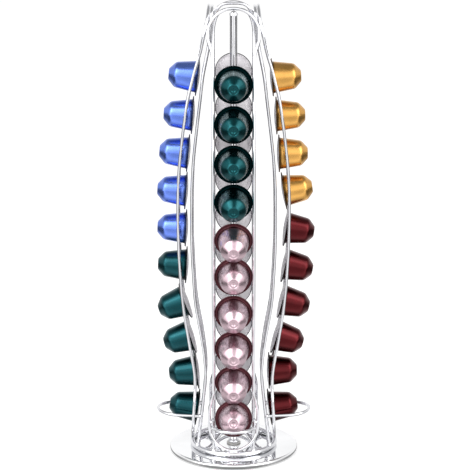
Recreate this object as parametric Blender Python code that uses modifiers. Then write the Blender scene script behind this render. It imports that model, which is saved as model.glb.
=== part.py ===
"""Coffee capsule dispenser.

A wire tower turns on a round mirror base. Four columns, one on each side, hold ten
capsules each. A capsule lies with its nose outward. Its rim runs in a channel between
an outer wire loop and an inner wire rail, and the lowest capsule rests on a wire tray,
from which it is pulled outward.

Each column is modelled in its own frame: X runs along its width, -Y points outward from
the tower's axis and Z points up. All sizes are in metres.
"""

import math

import bmesh
import bpy
from mathutils import Vector

OBJECT_NAME = "coffee_capsule_dispenser"

# Gaps that all pieces keep
WELD_GAP = 0.0003
RUNNING_GAP = 0.0004
MERGE_DISTANCE = 0.00005
CREASE_ANGLE = math.radians(35)

# Base
BASE_DIAMETER = 0.128
BASE_TOP_HEIGHT = 0.006
BASE_EDGE_RADIUS = 0.002
BASE_SEGMENTS = 44
EDGE_ARC_STEPS = 3
PAD_SETBACK = 0.0045
PAD_INNER_DIAMETER = 0.024
PAD_THICKNESS = 0.0012

# Spindle and bearing
SPINDLE_DIAMETER = 0.005
SPINDLE_TOP_HEIGHT = 0.030
SPINDLE_HEAD_DIAMETER = 0.010
SPINDLE_HEAD_THICKNESS = 0.0018
WASHER_DIAMETER = 0.014
WASHER_THICKNESS = 0.001
SMALL_SEGMENTS = 20

# Center pole
POLE_DIAMETER = 0.0075
POLE_TOP_DROP = 0.010
POLE_FOOT_DIAMETER = 0.0105
POLE_FOOT_THICKNESS = 0.0028
CAP_DIAMETER = 0.0086
CAP_HEIGHT = 0.0045
CAP_PLUG_LENGTH = 0.006
CAP_ARC_STEPS = 4

# Base ring and the spider that joins it to the pole
RING_WIRE_DIAMETER = 0.005
RING_SEGMENTS = 36
SPIDER_WIRE_DIAMETER = 0.004
SPIDER_ARM_COUNT = 4
SPIDER_ARM_STEPS = 7
SPIDER_HUB_DIAMETER = 0.0125
SPIDER_HUB_LENGTH = 0.007
SPIDER_HUB_HEIGHT = 0.027

# Capsule
CAPSULE_RIM_DIAMETER = 0.037
CAPSULE_RIM_THICKNESS = 0.0013
CAPSULE_FLANGE_WIDTH = 0.0031
CAPSULE_BODY_TAPER = 0.0032
CAPSULE_SHOULDER_HEIGHT = 0.0218
CAPSULE_CONE_HEIGHT = 0.0063
CAPSULE_NOSE_RADIUS = 0.0048
CAPSULE_NOSE_DIMPLE = 0.0006
CAPSULE_SEAL_WIDTH = 0.002
CAPSULE_LID_BULGE = 0.0016
CAPSULE_SEGMENTS = 12

# Column wires, with half the width of the channel between the legs of a column
WIRE_DIAMETER = 0.003
WIRE_BEVEL_RESOLUTION = 2
LEG_STEPS = 15
CHANNEL_CLEARANCE = 0.0012
CHANNEL_HALF_WIDTH = CAPSULE_RIM_DIAMETER / 2.0 + CHANNEL_CLEARANCE

# Curve of the outer loops: where the belly is widest, and stations from the top down, as shares
# of the arch's height and of the way out from the arches' corners to the belly
OUTER_BELLY_RADIUS = 0.0541
OUTER_TRACK_SHARES = (
    (1.0000, -0.0860),
    (0.9733, -0.0323),
    (0.9578, 0.0000),
    (0.9422, 0.0717),
    (0.9044, 0.2007),
    (0.8533, 0.4444),
    (0.7911, 0.6703),
    (0.7222, 0.8280),
    (0.6556, 0.9462),
    (0.5911, 1.0000),
    (0.4978, 0.9964),
    (0.4178, 0.9391),
    (0.3444, 0.8387),
    (0.2644, 0.6416),
    (0.1956, 0.4588),
    (0.1600, 0.4337),
    (0.1244, 0.4588),
    (0.0844, 0.4982),
    (0.0289, 0.5376),
)

# Curve of the inner rails: how far they stand behind the outer loops at the belly, how far
# their tops stand off their neighbours, and stations as above, from the rails' tops to the belly
CHANNEL_DEPTH = 0.0132
RAIL_TOP_STANDOFF = 0.0006
INNER_TRACK_SHARES = (
    (0.9978, 0.0000),
    (0.9800, 0.0437),
    (0.9444, 0.1117),
    (0.9089, 0.1990),
    (0.8533, 0.4320),
    (0.7911, 0.5971),
    (0.7178, 0.7864),
    (0.6556, 0.9223),
    (0.5911, 0.9854),
    (0.4978, 1.0000),
    (0.4178, 0.9320),
    (0.3444, 0.8155),
    (0.2644, 0.5194),
    (0.1911, 0.3592),
    (0.1356, 0.4563),
    (0.0911, 0.5631),
    (0.0244, 0.7573),
)

# Loading mouth and arch at the top of an outer loop, measured from the arch's apex down.
# The apex stands over the top of the stack. Neighbouring arches meet at their corners.
ARCH_HEADROOM = 0.0512
ARCH_RISE = 0.026
ARCH_STEPS = 10
MOUTH_DEPTH = 0.048
MOUTH_SPREAD = 0.005
CORNER_DEPTH = 0.019
CORNER_GAP = 0.0004

# Exit at the bottom of an outer loop
EXIT_SPREAD = 0.0042
EXIT_TOP_HEIGHT = 0.075
EXIT_FULL_HEIGHT = 0.053
BEND_START_HEIGHT = 0.0385
BEND_STEPS = 8

# Arch at the top of an inner rail
RAIL_ARCH_RISE = 0.040
RAIL_APEX_DROP = 0.001
RAIL_ARCH_SQUARENESS = 3.5

# Tray, which carries the lowest capsule by its rim and ends in front of the pulled capsule
TRAY_WIRE_DIAMETER = 0.0034
TRAY_SEAT_HEIGHT = 0.04164
TRAY_SLOPE = math.radians(3.1)
TRAY_ARC_STEPS = 10
RIM_SEAT_RISE = 0.00286
PULL_TRAVEL = 0.008
TRAY_END_CLEARANCE = 0.0016

# Stack of capsules
LOWEST_CAPSULE_RADIUS = 0.0364
LOWEST_CAPSULE_TILT = 8
DRAW_CLEARANCE = 0.00054

# Columns: angle round the tower in degrees, gap between the rims of two capsules, and finish
# of each group of capsules from the top down
COLUMN_ANGLES = {"front": 0, "right": 90, "back": 180, "left": 270}
RIM_GAPS = {"front": 0.0003, "right": 0.0005, "back": 0.0003, "left": 0.0006}
CAPSULE_GROUPS = {
    "front": (("green", 4), ("rose", 6)),
    "right": (("gold", 4), ("red", 6)),
    "back": (("silver", 4), ("violet", 6)),
    "left": (("blue", 5), ("teal", 5)),
}

# Capsules above the lowest one, from the top down: share of the way from the inner rail to the
# outer loop, and tilt in degrees with the nose up as positive
DEPTH_SHARES = {
    "front": (0.749, 0.791, 0.807, 0.587, 0.831, 0.713, 0.832, 0.851, 0.816),
    "right": (0.774, 0.574, 0.449, 0.660, 0.794, 0.830, 0.831, 0.843, 0.712),
    "back": (0.747, 0.793, 0.807, 0.825, 0.831, 0.835, 0.828, 0.844, 0.805),
    "left": (0.528, 0.445, 0.452, 0.454, 0.452, 0.540, 0.836, 0.850, 0.823),
}
TILT_DEGREES = {
    "front": (-0.5, -2.0, 1.5, -8.5, -15.0, 0.0, -6.5, -10.5, -13.0),
    "right": (3.5, 1.5, 1.0, 9.0, -8.5, -12.0, -14.0, -17.0, 1.0),
    "back": (-5.0, -8.0, 5.0, -6.0, -10.0, 4.0, -9.0, -12.0, -4.0),
    "left": (6.5, 3.5, 5.0, 4.0, 2.5, 2.5, -21.0, -17.5, -6.0),
}

# Finishes: colour, roughness and metallic value
FINISHES = {
    "chrome_wire": ((0.80, 0.81, 0.84), 0.08, 1.0),
    "mirror_chrome": ((0.86, 0.87, 0.88), 0.05, 1.0),
    "steel": ((0.55, 0.56, 0.58), 0.30, 1.0),
    "foam_rubber": ((0.03, 0.03, 0.03), 0.85, 0.0),
    "white_nylon": ((0.80, 0.79, 0.76), 0.45, 0.0),
    "green": ((0.010, 0.090, 0.075), 0.30, 1.0),
    "rose": ((0.56, 0.38, 0.37), 0.32, 1.0),
    "gold": ((0.58, 0.27, 0.045), 0.30, 1.0),
    "red": ((0.19, 0.016, 0.022), 0.30, 1.0),
    "silver": ((0.60, 0.60, 0.62), 0.32, 1.0),
    "violet": ((0.16, 0.07, 0.20), 0.30, 1.0),
    "blue": ((0.060, 0.100, 0.500), 0.30, 1.0),
    "teal": ((0.008, 0.120, 0.130), 0.30, 1.0),
}


def clear_scene():
    """Removes every object of the scene."""
    for item in list(bpy.data.objects):
        bpy.data.objects.remove(item, do_unlink=True)


def add_collection(name):
    """Makes a collection under the scene's own."""
    collection = bpy.data.collections.new(name)
    bpy.context.scene.collection.children.link(collection)
    return collection


def add_material(finish):
    """Returns the material of a finish, and makes it the first time."""
    material = bpy.data.materials.get(finish)
    if material is None:
        colour, roughness, metallic = FINISHES[finish]
        material = bpy.data.materials.new(finish)
        material.use_nodes = True
        shader = material.node_tree.nodes["Principled BSDF"]
        shader.inputs["Base Color"].default_value = (*colour, 1.0)
        shader.inputs["Roughness"].default_value = roughness
        shader.inputs["Metallic"].default_value = metallic
    return material


def add_object(name, data, finish, collection, parent):
    """Makes an object of the given data and finish under a parent."""
    item = bpy.data.objects.new(name, data)
    collection.objects.link(item)
    item.parent = parent
    if not data.materials:
        data.materials.append(add_material(finish))
    return item


def add_empty(name, collection, parent=None, angle=0.0):
    """Makes an empty that is turned about Z by an angle in radians."""
    empty = bpy.data.objects.new(name, None)
    collection.objects.link(empty)
    empty.parent = parent
    empty.rotation_euler.z = angle
    return empty


def smooth_step(share):
    """Blends from 0 to 1 with level ends."""
    share = min(max(share, 0.0), 1.0)
    return share * share * (3.0 - 2.0 * share)


def track_share(stations, share):
    """Reads the way out at a share of the arch's height from a smooth curve through stations."""
    count = len(stations)
    slopes = []
    for index in range(count):
        above = stations[max(index - 1, 0)]
        below = stations[min(index + 1, count - 1)]
        slopes.append((above[1] - below[1]) / (above[0] - below[0]))
    lower = 1
    while lower < count - 1 and stations[lower][0] > share:
        lower += 1
    upper = lower - 1
    span = stations[upper][0] - stations[lower][0]
    part = min(max((share - stations[lower][0]) / span, 0.0), 1.0)
    square = part * part
    cube = square * part
    return (
        (2.0 * cube - 3.0 * square + 1.0) * stations[lower][1]
        + (cube - 2.0 * square + part) * span * slopes[lower]
        + (3.0 * square - 2.0 * cube) * stations[upper][1]
        + (cube - square) * span * slopes[upper]
    )


def arch_half_width():
    """Gives half the width of an outer loop's arch at its spring."""
    return CHANNEL_HALF_WIDTH + MOUTH_SPREAD


def arch_apex_height():
    """Gives the height of the arches' apex, which stands over the highest stack."""
    stacks = [stack_heights(name) for name in COLUMN_ANGLES]
    tops = [heights[0] + rim_reach(TILT_DEGREES[name][0]) for name, heights in zip(COLUMN_ANGLES, stacks)]
    return max(tops) + ARCH_HEADROOM


def arch_spring_height():
    """Gives the height at which an outer loop's arch springs."""
    return arch_apex_height() - ARCH_RISE


def corner_radius():
    """Gives the distance of an outer loop from the axis where neighbouring arches meet."""
    across = arch_half_width() * math.sqrt(1.0 - ((ARCH_RISE - CORNER_DEPTH) / ARCH_RISE) ** 2)
    return across + (WIRE_DIAMETER + CORNER_GAP) / math.sqrt(2.0)


def outer_radius(height):
    """Gives the distance of an outer loop from the tower's axis at a height."""
    corner = corner_radius()
    share = track_share(OUTER_TRACK_SHARES, height / arch_apex_height())
    return corner + (OUTER_BELLY_RADIUS - corner) * share


def inner_radius(height):
    """Gives the distance of an inner rail from the tower's axis at a height."""
    top = CHANNEL_HALF_WIDTH + RAIL_TOP_STANDOFF
    share = track_share(INNER_TRACK_SHARES, height / arch_apex_height())
    return top + (OUTER_BELLY_RADIUS - CHANNEL_DEPTH - top) * share


def leg_heights(top, bottom):
    """Lists heights down a leg, closer together near both of its ends."""
    middle = (top + bottom) / 2.0
    half = (top - bottom) / 2.0
    return [middle + half * math.cos(math.pi * step / LEG_STEPS) for step in range(LEG_STEPS + 1)]


def column_point(side, radius_at, height, half_width):
    """Places a wire's point at a height, on one side of its column."""
    return Vector((side * half_width, -radius_at(height), height))


def add_wire(name, points, diameter, cyclic, finish, collection, parent):
    """Makes a round wire along the points."""
    curve = bpy.data.curves.new(name, "CURVE")
    curve.dimensions = "3D"
    curve.bevel_depth = diameter / 2.0
    curve.bevel_resolution = WIRE_BEVEL_RESOLUTION
    curve.use_fill_caps = not cyclic
    spline = curve.splines.new("POLY")
    spline.points.add(len(points) - 1)
    for target, point in zip(spline.points, points):
        target.co = (*point, 1.0)
    spline.use_cyclic_u = cyclic
    spline.use_smooth = True
    return add_object(name, curve, finish, collection, parent)


def turned_mesh(name, profile, segments, finish):
    """Turns a profile, which runs down its outer side, round the Z axis."""
    outline = bpy.data.meshes.new(name + "_profile")
    edges = [(index, index + 1) for index in range(len(profile) - 1)]
    outline.from_pydata([(radius, 0.0, height) for radius, height in profile], edges, [])
    guide = bpy.data.objects.new(name + "_profile", outline)
    bpy.context.scene.collection.objects.link(guide)
    screw = guide.modifiers.new("turn", "SCREW")
    screw.steps = segments
    screw.render_steps = segments
    screw.use_merge_vertices = True
    screw.merge_threshold = MERGE_DISTANCE
    depsgraph = bpy.context.evaluated_depsgraph_get()
    mesh = bpy.data.meshes.new_from_object(guide.evaluated_get(depsgraph))
    mesh.name = name
    mesh.shade_smooth()
    mesh.set_sharp_from_angle(angle=CREASE_ANGLE)
    mesh.materials.append(add_material(finish))
    bpy.data.objects.remove(guide, do_unlink=True)
    return mesh


def add_turned(name, profile, segments, finish, collection, parent):
    """Makes an object by turning a profile round the Z axis."""
    return add_object(name, turned_mesh(name, profile, segments, finish), finish, collection, parent)


def capsule_mesh(finish):
    """Returns the capsule mesh of a finish, and makes it the first time."""
    name = "capsule_" + finish
    mesh = bpy.data.meshes.get(name)
    if mesh is None:
        mesh = turned_mesh(name, capsule_profile(), CAPSULE_SEGMENTS, finish)
    return mesh


def ring_profile(inner_radius, outer_radius, bottom, top):
    """Outlines a flat ring, closed on itself."""
    return [
        (inner_radius, top),
        (outer_radius, top),
        (outer_radius, bottom),
        (inner_radius, bottom),
        (inner_radius, top),
    ]


def arc_points(centre, radius, start, end, steps):
    """Lists points on an arc between two angles in degrees, in the XZ plane."""
    points = []
    for step in range(steps + 1):
        angle = math.radians(start + (end - start) * step / steps)
        points.append((centre[0] + radius * math.cos(angle), centre[1] + radius * math.sin(angle)))
    return points


def base_disc_profile():
    """Outlines the base: round edges, a hole for the spindle and a seat for its head."""
    outer = BASE_DIAMETER / 2.0
    bottom = PAD_THICKNESS + WELD_GAP
    hole = SPINDLE_DIAMETER / 2.0 + RUNNING_GAP
    seat = SPINDLE_HEAD_DIAMETER / 2.0 + RUNNING_GAP
    seat_top = bottom + SPINDLE_HEAD_THICKNESS + WELD_GAP
    edge = outer - BASE_EDGE_RADIUS
    upper_edge = arc_points((edge, BASE_TOP_HEIGHT - BASE_EDGE_RADIUS), BASE_EDGE_RADIUS, 90, 0, EDGE_ARC_STEPS)
    lower_edge = arc_points((edge, bottom + BASE_EDGE_RADIUS), BASE_EDGE_RADIUS, 0, -90, EDGE_ARC_STEPS)
    return (
        [(hole, BASE_TOP_HEIGHT)]
        + upper_edge
        + lower_edge
        + [(seat, bottom), (seat, seat_top), (hole, seat_top), (hole, BASE_TOP_HEIGHT)]
    )


def spindle_profile():
    """Outlines the spindle bolt with its head below."""
    shank = SPINDLE_DIAMETER / 2.0
    head = SPINDLE_HEAD_DIAMETER / 2.0
    head_bottom = PAD_THICKNESS + WELD_GAP
    head_top = head_bottom + SPINDLE_HEAD_THICKNESS
    return [
        (0.0, SPINDLE_TOP_HEIGHT),
        (shank, SPINDLE_TOP_HEIGHT),
        (shank, head_top),
        (head, head_top),
        (head, head_bottom),
        (0.0, head_bottom),
    ]


def washer_span():
    """Gives the bottom and top heights of the bearing washer."""
    bottom = BASE_TOP_HEIGHT + WELD_GAP
    return bottom, bottom + WASHER_THICKNESS


def pole_top_height():
    """Gives the height of the pole's upper end, below the arches' apex."""
    return arch_apex_height() - POLE_TOP_DROP


def pole_profile():
    """Outlines the center pole: a tube with a flange at its foot."""
    bore = SPINDLE_DIAMETER / 2.0 + RUNNING_GAP
    outer = POLE_DIAMETER / 2.0
    foot = POLE_FOOT_DIAMETER / 2.0
    foot_bottom = washer_span()[1] + WELD_GAP
    foot_top = foot_bottom + POLE_FOOT_THICKNESS
    top = pole_top_height()
    return [
        (bore, top),
        (outer, top),
        (outer, foot_top),
        (foot, foot_top),
        (foot, foot_bottom),
        (bore, foot_bottom),
        (bore, top),
    ]


def pole_cap_profile():
    """Outlines the domed cap, whose plug sits in the pole's bore."""
    radius = CAP_DIAMETER / 2.0
    plug = SPINDLE_DIAMETER / 2.0 + RUNNING_GAP - WELD_GAP
    seat = pole_top_height() + WELD_GAP
    dome = []
    for step in range(CAP_ARC_STEPS + 1):
        angle = math.pi / 2.0 * (1.0 - step / CAP_ARC_STEPS)
        dome.append((radius * math.cos(angle), seat + CAP_HEIGHT * math.sin(angle)))
    plug_end = seat - CAP_PLUG_LENGTH
    return dome + [(plug, seat), (plug, plug_end), (0.0, plug_end)]


def capsule_profile():
    """Outlines a capsule with its nose up, from the nose to the lid's middle."""
    rim = CAPSULE_RIM_DIAMETER / 2.0
    half_rim = CAPSULE_RIM_THICKNESS / 2.0
    body = rim - CAPSULE_FLANGE_WIDTH
    nose = CAPSULE_SHOULDER_HEIGHT + CAPSULE_CONE_HEIGHT
    return [
        (0.0, nose - CAPSULE_NOSE_DIMPLE),
        (CAPSULE_NOSE_RADIUS, nose),
        (body - CAPSULE_BODY_TAPER, CAPSULE_SHOULDER_HEIGHT),
        (body, half_rim),
        (rim, half_rim),
        (rim, -half_rim),
        (rim - CAPSULE_SEAL_WIDTH, -half_rim),
        (0.0, -half_rim - CAPSULE_LID_BULGE),
    ]


def mouth_share(height):
    """Gives how far the loading mouth has opened at a height."""
    bottom = arch_apex_height() - MOUTH_DEPTH
    return smooth_step((height - bottom) / (MOUTH_DEPTH - ARCH_RISE))


def exit_share(height):
    """Gives how far the exit has opened at a height."""
    return smooth_step((EXIT_TOP_HEIGHT - height) / (EXIT_TOP_HEIGHT - EXIT_FULL_HEIGHT))


def outer_half_width(height):
    """Gives half the distance between the legs of an outer loop at a height."""
    return CHANNEL_HALF_WIDTH + MOUTH_SPREAD * mouth_share(height) + EXIT_SPREAD * exit_share(height)


def bend_bottom_height():
    """Gives the height of the bottom bend's wire, which is welded on top of the base ring."""
    return ring_height() + (RING_WIRE_DIAMETER + WIRE_DIAMETER) / 2.0 + WELD_GAP


def outer_loop_points():
    """Lists the points of a closed outer loop, from its right leg over the bottom bend."""
    spring = arch_spring_height()
    heights = leg_heights(spring, BEND_START_HEIGHT)
    bend_depth = BEND_START_HEIGHT - bend_bottom_height()
    bend_width = CHANNEL_HALF_WIDTH + EXIT_SPREAD
    points = [column_point(1, outer_radius, height, outer_half_width(height)) for height in heights]
    for step in range(1, BEND_STEPS):
        angle = math.pi * step / BEND_STEPS
        height = BEND_START_HEIGHT - bend_depth * math.sin(angle)
        points.append(column_point(math.cos(angle), outer_radius, height, bend_width))
    for height in reversed(heights):
        points.append(column_point(-1, outer_radius, height, outer_half_width(height)))
    for step in range(1, ARCH_STEPS):
        angle = math.pi * step / ARCH_STEPS
        height = spring + ARCH_RISE * math.sin(angle)
        points.append(column_point(-math.cos(angle), outer_radius, height, arch_half_width()))
    return points


def inner_rail_points():
    """Lists the points of an inner rail, from its right foot over the arch to its left foot."""
    foot = ring_height() + RING_WIRE_DIAMETER / 2.0 + WELD_GAP
    spring = arch_apex_height() - RAIL_APEX_DROP - RAIL_ARCH_RISE
    heights = leg_heights(spring, foot)
    power = 2.0 / RAIL_ARCH_SQUARENESS
    points = [column_point(1, inner_radius, height, CHANNEL_HALF_WIDTH) for height in reversed(heights)]
    for step in range(1, ARCH_STEPS):
        angle = math.pi * step / ARCH_STEPS
        across = math.copysign(abs(math.cos(angle)) ** power, math.cos(angle))
        height = spring + RAIL_ARCH_RISE * math.sin(angle) ** power
        points.append(column_point(across, inner_radius, height, CHANNEL_HALF_WIDTH))
    points += [column_point(-1, inner_radius, height, CHANNEL_HALF_WIDTH) for height in heights]
    return points


def rim_to_wire():
    """Gives the distance from the middle of a seated rim to the middle of the tray's wire."""
    return (CAPSULE_RIM_DIAMETER + TRAY_WIRE_DIAMETER) / 2.0 + WELD_GAP


def tray_half_width():
    """Gives half the distance between the tray's sides, on which the lowest rim sits."""
    return math.sqrt(rim_to_wire() ** 2 - RIM_SEAT_RISE**2)


def tray_root_radius():
    """Gives the distance from the axis at which the tray's ends meet the inner rail."""
    return inner_radius(TRAY_SEAT_HEIGHT) + WIRE_DIAMETER / 2.0 + WELD_GAP


def tray_tip_radius():
    """Gives the distance of the tray's end from the axis, beyond the pulled capsule's nose."""
    nose = CAPSULE_SHOULDER_HEIGHT + CAPSULE_CONE_HEIGHT
    return LOWEST_CAPSULE_RADIUS + nose + PULL_TRAVEL + TRAY_END_CLEARANCE + TRAY_WIRE_DIAMETER / 2.0


def tray_height(radius):
    """Gives the height of the tray's wire at a distance from the tower's axis."""
    return TRAY_SEAT_HEIGHT + (radius - LOWEST_CAPSULE_RADIUS) * math.tan(TRAY_SLOPE)


def tray_points():
    """Lists the points of a tray: two straight sides and a round end."""
    half_width = tray_half_width()
    arc_radius = tray_tip_radius() - half_width
    flat = [(half_width, tray_root_radius())]
    for step in range(TRAY_ARC_STEPS + 1):
        angle = math.pi * step / TRAY_ARC_STEPS
        flat.append((half_width * math.cos(angle), arc_radius + half_width * math.sin(angle)))
    flat.append((-half_width, tray_root_radius()))
    return [Vector((across, -radius, tray_height(radius))) for across, radius in flat]


def ring_height():
    """Gives the height of the base ring's wire, which clears the base disc."""
    return BASE_TOP_HEIGHT + RUNNING_GAP + RING_WIRE_DIAMETER / 2.0


def rim_reach(tilt):
    """Gives how far a tilted capsule's rim reaches above its middle."""
    angle = abs(math.radians(tilt))
    rim = CAPSULE_RIM_DIAMETER / 2.0
    return rim * math.cos(angle) + CAPSULE_RIM_THICKNESS / 2.0 * math.sin(angle)


def lowest_capsule_height():
    """Gives the height at which the lowest capsule's rim rests on the tray's two wires."""
    return tray_height(LOWEST_CAPSULE_RADIUS) + RIM_SEAT_RISE


def stack_heights(name):
    """Lists the heights of a column's capsules, from the top down."""
    heights = [lowest_capsule_height()]
    lift = PULL_TRAVEL * math.sin(TRAY_SLOPE) + DRAW_CLEARANCE
    support = heights[0] + rim_reach(LOWEST_CAPSULE_TILT) + lift
    for tilt in reversed(TILT_DEGREES[name]):
        height = support + RIM_GAPS[name] + rim_reach(tilt)
        heights.append(height)
        support = height + rim_reach(tilt)
    return list(reversed(heights))


def stack_places(name):
    """Lists radius, height and tilt of a column's capsules, from the top down."""
    places = []
    for height, share, tilt in zip(stack_heights(name), DEPTH_SHARES[name], TILT_DEGREES[name]):
        inner = inner_radius(height)
        places.append((inner + (outer_radius(height) - inner) * share, height, tilt))
    return places + [(LOWEST_CAPSULE_RADIUS, lowest_capsule_height(), LOWEST_CAPSULE_TILT)]


def capsule_finishes(name):
    """Lists the finish of each capsule of a column, from the top down."""
    return [finish for finish, count in CAPSULE_GROUPS[name] for _ in range(count)]


def build_base(collection):
    """Makes the pieces that stand still."""
    axis = add_empty("base_axis", collection)
    pad = ring_profile(PAD_INNER_DIAMETER / 2.0, BASE_DIAMETER / 2.0 - PAD_SETBACK, 0.0, PAD_THICKNESS)
    add_turned("foot_pad", pad, BASE_SEGMENTS, "foam_rubber", collection, axis)
    add_turned("base_disc", base_disc_profile(), BASE_SEGMENTS, "mirror_chrome", collection, axis)
    add_turned("spindle_bolt", spindle_profile(), SMALL_SEGMENTS, "steel", collection, axis)
    bore = SPINDLE_DIAMETER / 2.0 + RUNNING_GAP
    washer = ring_profile(bore, WASHER_DIAMETER / 2.0, *washer_span())
    add_turned("bearing_washer", washer, SMALL_SEGMENTS, "white_nylon", collection, axis)


def build_base_ring(collection, axis):
    """Makes the ring that all wire legs stand on."""
    bpy.ops.mesh.primitive_torus_add(
        major_radius=outer_radius(bend_bottom_height()),
        minor_radius=RING_WIRE_DIAMETER / 2.0,
        major_segments=RING_SEGMENTS,
        minor_segments=2 * WIRE_BEVEL_RESOLUTION + 4,
        location=(0.0, 0.0, ring_height()),
    )
    ring = bpy.context.object
    ring.name = "base_ring"
    ring.data.materials.append(add_material("chrome_wire"))
    ring.data.shade_smooth()
    for owner in list(ring.users_collection):
        owner.objects.unlink(ring)
    collection.objects.link(ring)
    ring.parent = axis


def wire_as_mesh(wire):
    """Replaces a wire curve by a closed mesh object of the same place."""
    depsgraph = bpy.context.evaluated_depsgraph_get()
    mesh = bpy.data.meshes.new_from_object(wire.evaluated_get(depsgraph))
    shape = bmesh.new()
    shape.from_mesh(mesh)
    bmesh.ops.remove_doubles(shape, verts=shape.verts, dist=MERGE_DISTANCE)
    shape.to_mesh(mesh)
    shape.free()
    solid = bpy.data.objects.new(wire.name + "_solid", mesh)
    solid.matrix_world = wire.matrix_world
    bpy.data.objects.remove(wire, do_unlink=True)
    return solid


def spider_arm_points(angle):
    """Lists the points of one arm, from inside the hub down to the ring."""
    start = (POLE_DIAMETER + SPIDER_HUB_DIAMETER) / 4.0 + WELD_GAP
    end = outer_radius(bend_bottom_height()) - RING_WIRE_DIAMETER / 2.0 - WELD_GAP
    points = []
    for step in range(SPIDER_ARM_STEPS + 1):
        share = step / SPIDER_ARM_STEPS
        radius = start + (end - start) * share
        height = SPIDER_HUB_HEIGHT + (ring_height() - SPIDER_HUB_HEIGHT) * smooth_step(share)
        points.append(Vector((radius * math.cos(angle), radius * math.sin(angle), height)))
    return points


def build_spider(collection, cutters, axis):
    """Makes the hub sleeve with four arms that carry the base ring."""
    bore = POLE_DIAMETER / 2.0 + WELD_GAP
    bottom = SPIDER_HUB_HEIGHT - SPIDER_HUB_LENGTH / 2.0
    sleeve = ring_profile(bore, SPIDER_HUB_DIAMETER / 2.0, bottom, bottom + SPIDER_HUB_LENGTH)
    spider = add_turned("ring_spider", sleeve, SMALL_SEGMENTS, "chrome_wire", collection, axis)
    for number in range(SPIDER_ARM_COUNT):
        angle = 2.0 * math.pi * (number + 0.5) / SPIDER_ARM_COUNT
        name = "spider_arm_%d" % (number + 1)
        wire = add_wire(name, spider_arm_points(angle), SPIDER_WIRE_DIAMETER, False, "chrome_wire", cutters, None)
        arm = wire_as_mesh(wire)
        cutters.objects.link(arm)
        arm.hide_render = True
        arm.display_type = "WIRE"
        union = spider.modifiers.new(name, "BOOLEAN")
        union.operation = "UNION"
        union.solver = "EXACT"
        union.object = arm
    return spider


def build_column(name, collection, axis):
    """Makes one column: its two wires, its tray and its capsules."""
    column = add_empty(name + "_column", collection, axis, math.radians(COLUMN_ANGLES[name]))
    add_wire(name + "_outer_loop", outer_loop_points(), WIRE_DIAMETER, True, "chrome_wire", collection, column)
    add_wire(name + "_inner_rail", inner_rail_points(), WIRE_DIAMETER, False, "chrome_wire", collection, column)
    add_wire(name + "_tray", tray_points(), TRAY_WIRE_DIAMETER, False, "chrome_wire", collection, column)
    capsules = zip(stack_places(name), capsule_finishes(name))
    for number, ((radius, height, tilt), finish) in enumerate(capsules, start=1):
        capsule_name = "%s_capsule_%02d" % (name, number)
        capsule = add_object(capsule_name, capsule_mesh(finish), finish, collection, column)
        capsule.location = (0.0, -radius, height)
        capsule.rotation_euler.x = math.radians(90.0 - tilt)


def build_tower(collection, cutters):
    """Makes everything that turns on the spindle."""
    axis = add_empty("tower_axis", collection)
    add_turned("center_pole", pole_profile(), SMALL_SEGMENTS, "mirror_chrome", collection, axis)
    add_turned("pole_cap", pole_cap_profile(), SMALL_SEGMENTS, "mirror_chrome", collection, axis)
    build_base_ring(collection, axis)
    build_spider(collection, cutters, axis)
    for name in COLUMN_ANGLES:
        build_column(name, collection, axis)


def main():
    """Builds the dispenser."""
    clear_scene()
    collection = add_collection(OBJECT_NAME)
    cutters = add_collection(OBJECT_NAME + "_cutters")
    build_base(collection)
    build_tower(collection, cutters)
    bpy.context.view_layer.update()


main()
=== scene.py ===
"""Looks of the coffee capsule dispenser: chromed wire tower, mirror base and lacquered capsules."""

from __future__ import annotations

import logging
import math
from dataclasses import dataclass, field
from enum import Enum
from typing import Iterable, Sequence

import bmesh
import bpy
from mathutils import Matrix, Vector


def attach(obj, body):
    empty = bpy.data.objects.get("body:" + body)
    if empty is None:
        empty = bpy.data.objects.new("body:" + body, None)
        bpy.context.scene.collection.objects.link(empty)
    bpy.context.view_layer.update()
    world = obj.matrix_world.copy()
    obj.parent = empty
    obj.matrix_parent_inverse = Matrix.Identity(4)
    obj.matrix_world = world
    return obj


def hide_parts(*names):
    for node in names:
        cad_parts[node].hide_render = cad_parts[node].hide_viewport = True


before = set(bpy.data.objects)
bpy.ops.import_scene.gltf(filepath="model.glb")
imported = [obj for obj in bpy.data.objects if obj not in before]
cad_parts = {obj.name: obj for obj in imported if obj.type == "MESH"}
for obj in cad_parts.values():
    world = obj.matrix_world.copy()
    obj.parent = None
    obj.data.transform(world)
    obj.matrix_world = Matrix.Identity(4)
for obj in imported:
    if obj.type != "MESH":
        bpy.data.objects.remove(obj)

LOG = logging.getLogger("dispenser")
MM = 0.001
# Length and thickness of each kind of weld.
ARM_WELD = (0.0062, 0.0050)
CORNER_WELD = (0.0075, 0.0030)
RING_WELD = (0.0085, 0.0034)
FOOT_WELD = (0.0046, 0.0042)
ROOT_WELD = (0.0050, 0.0040)
SIDE_WELD = (0.0042, 0.0026)

Profile = Sequence[tuple[float, float]]


class Side(Enum):
    """Side of the tower on which a column stands, with its turn about Z in degrees."""

    FRONT = 0
    RIGHT = 90
    BACK = 180
    LEFT = 270

    @property
    def label(self) -> str:
        """Name of the side, as the CAD nodes start."""
        return self.name.lower()

    @property
    def turn(self) -> Matrix:
        """Matrix from the column's own frame to the dispenser's."""
        return Matrix.Rotation(math.radians(self.value), 4, "Z")


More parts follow.
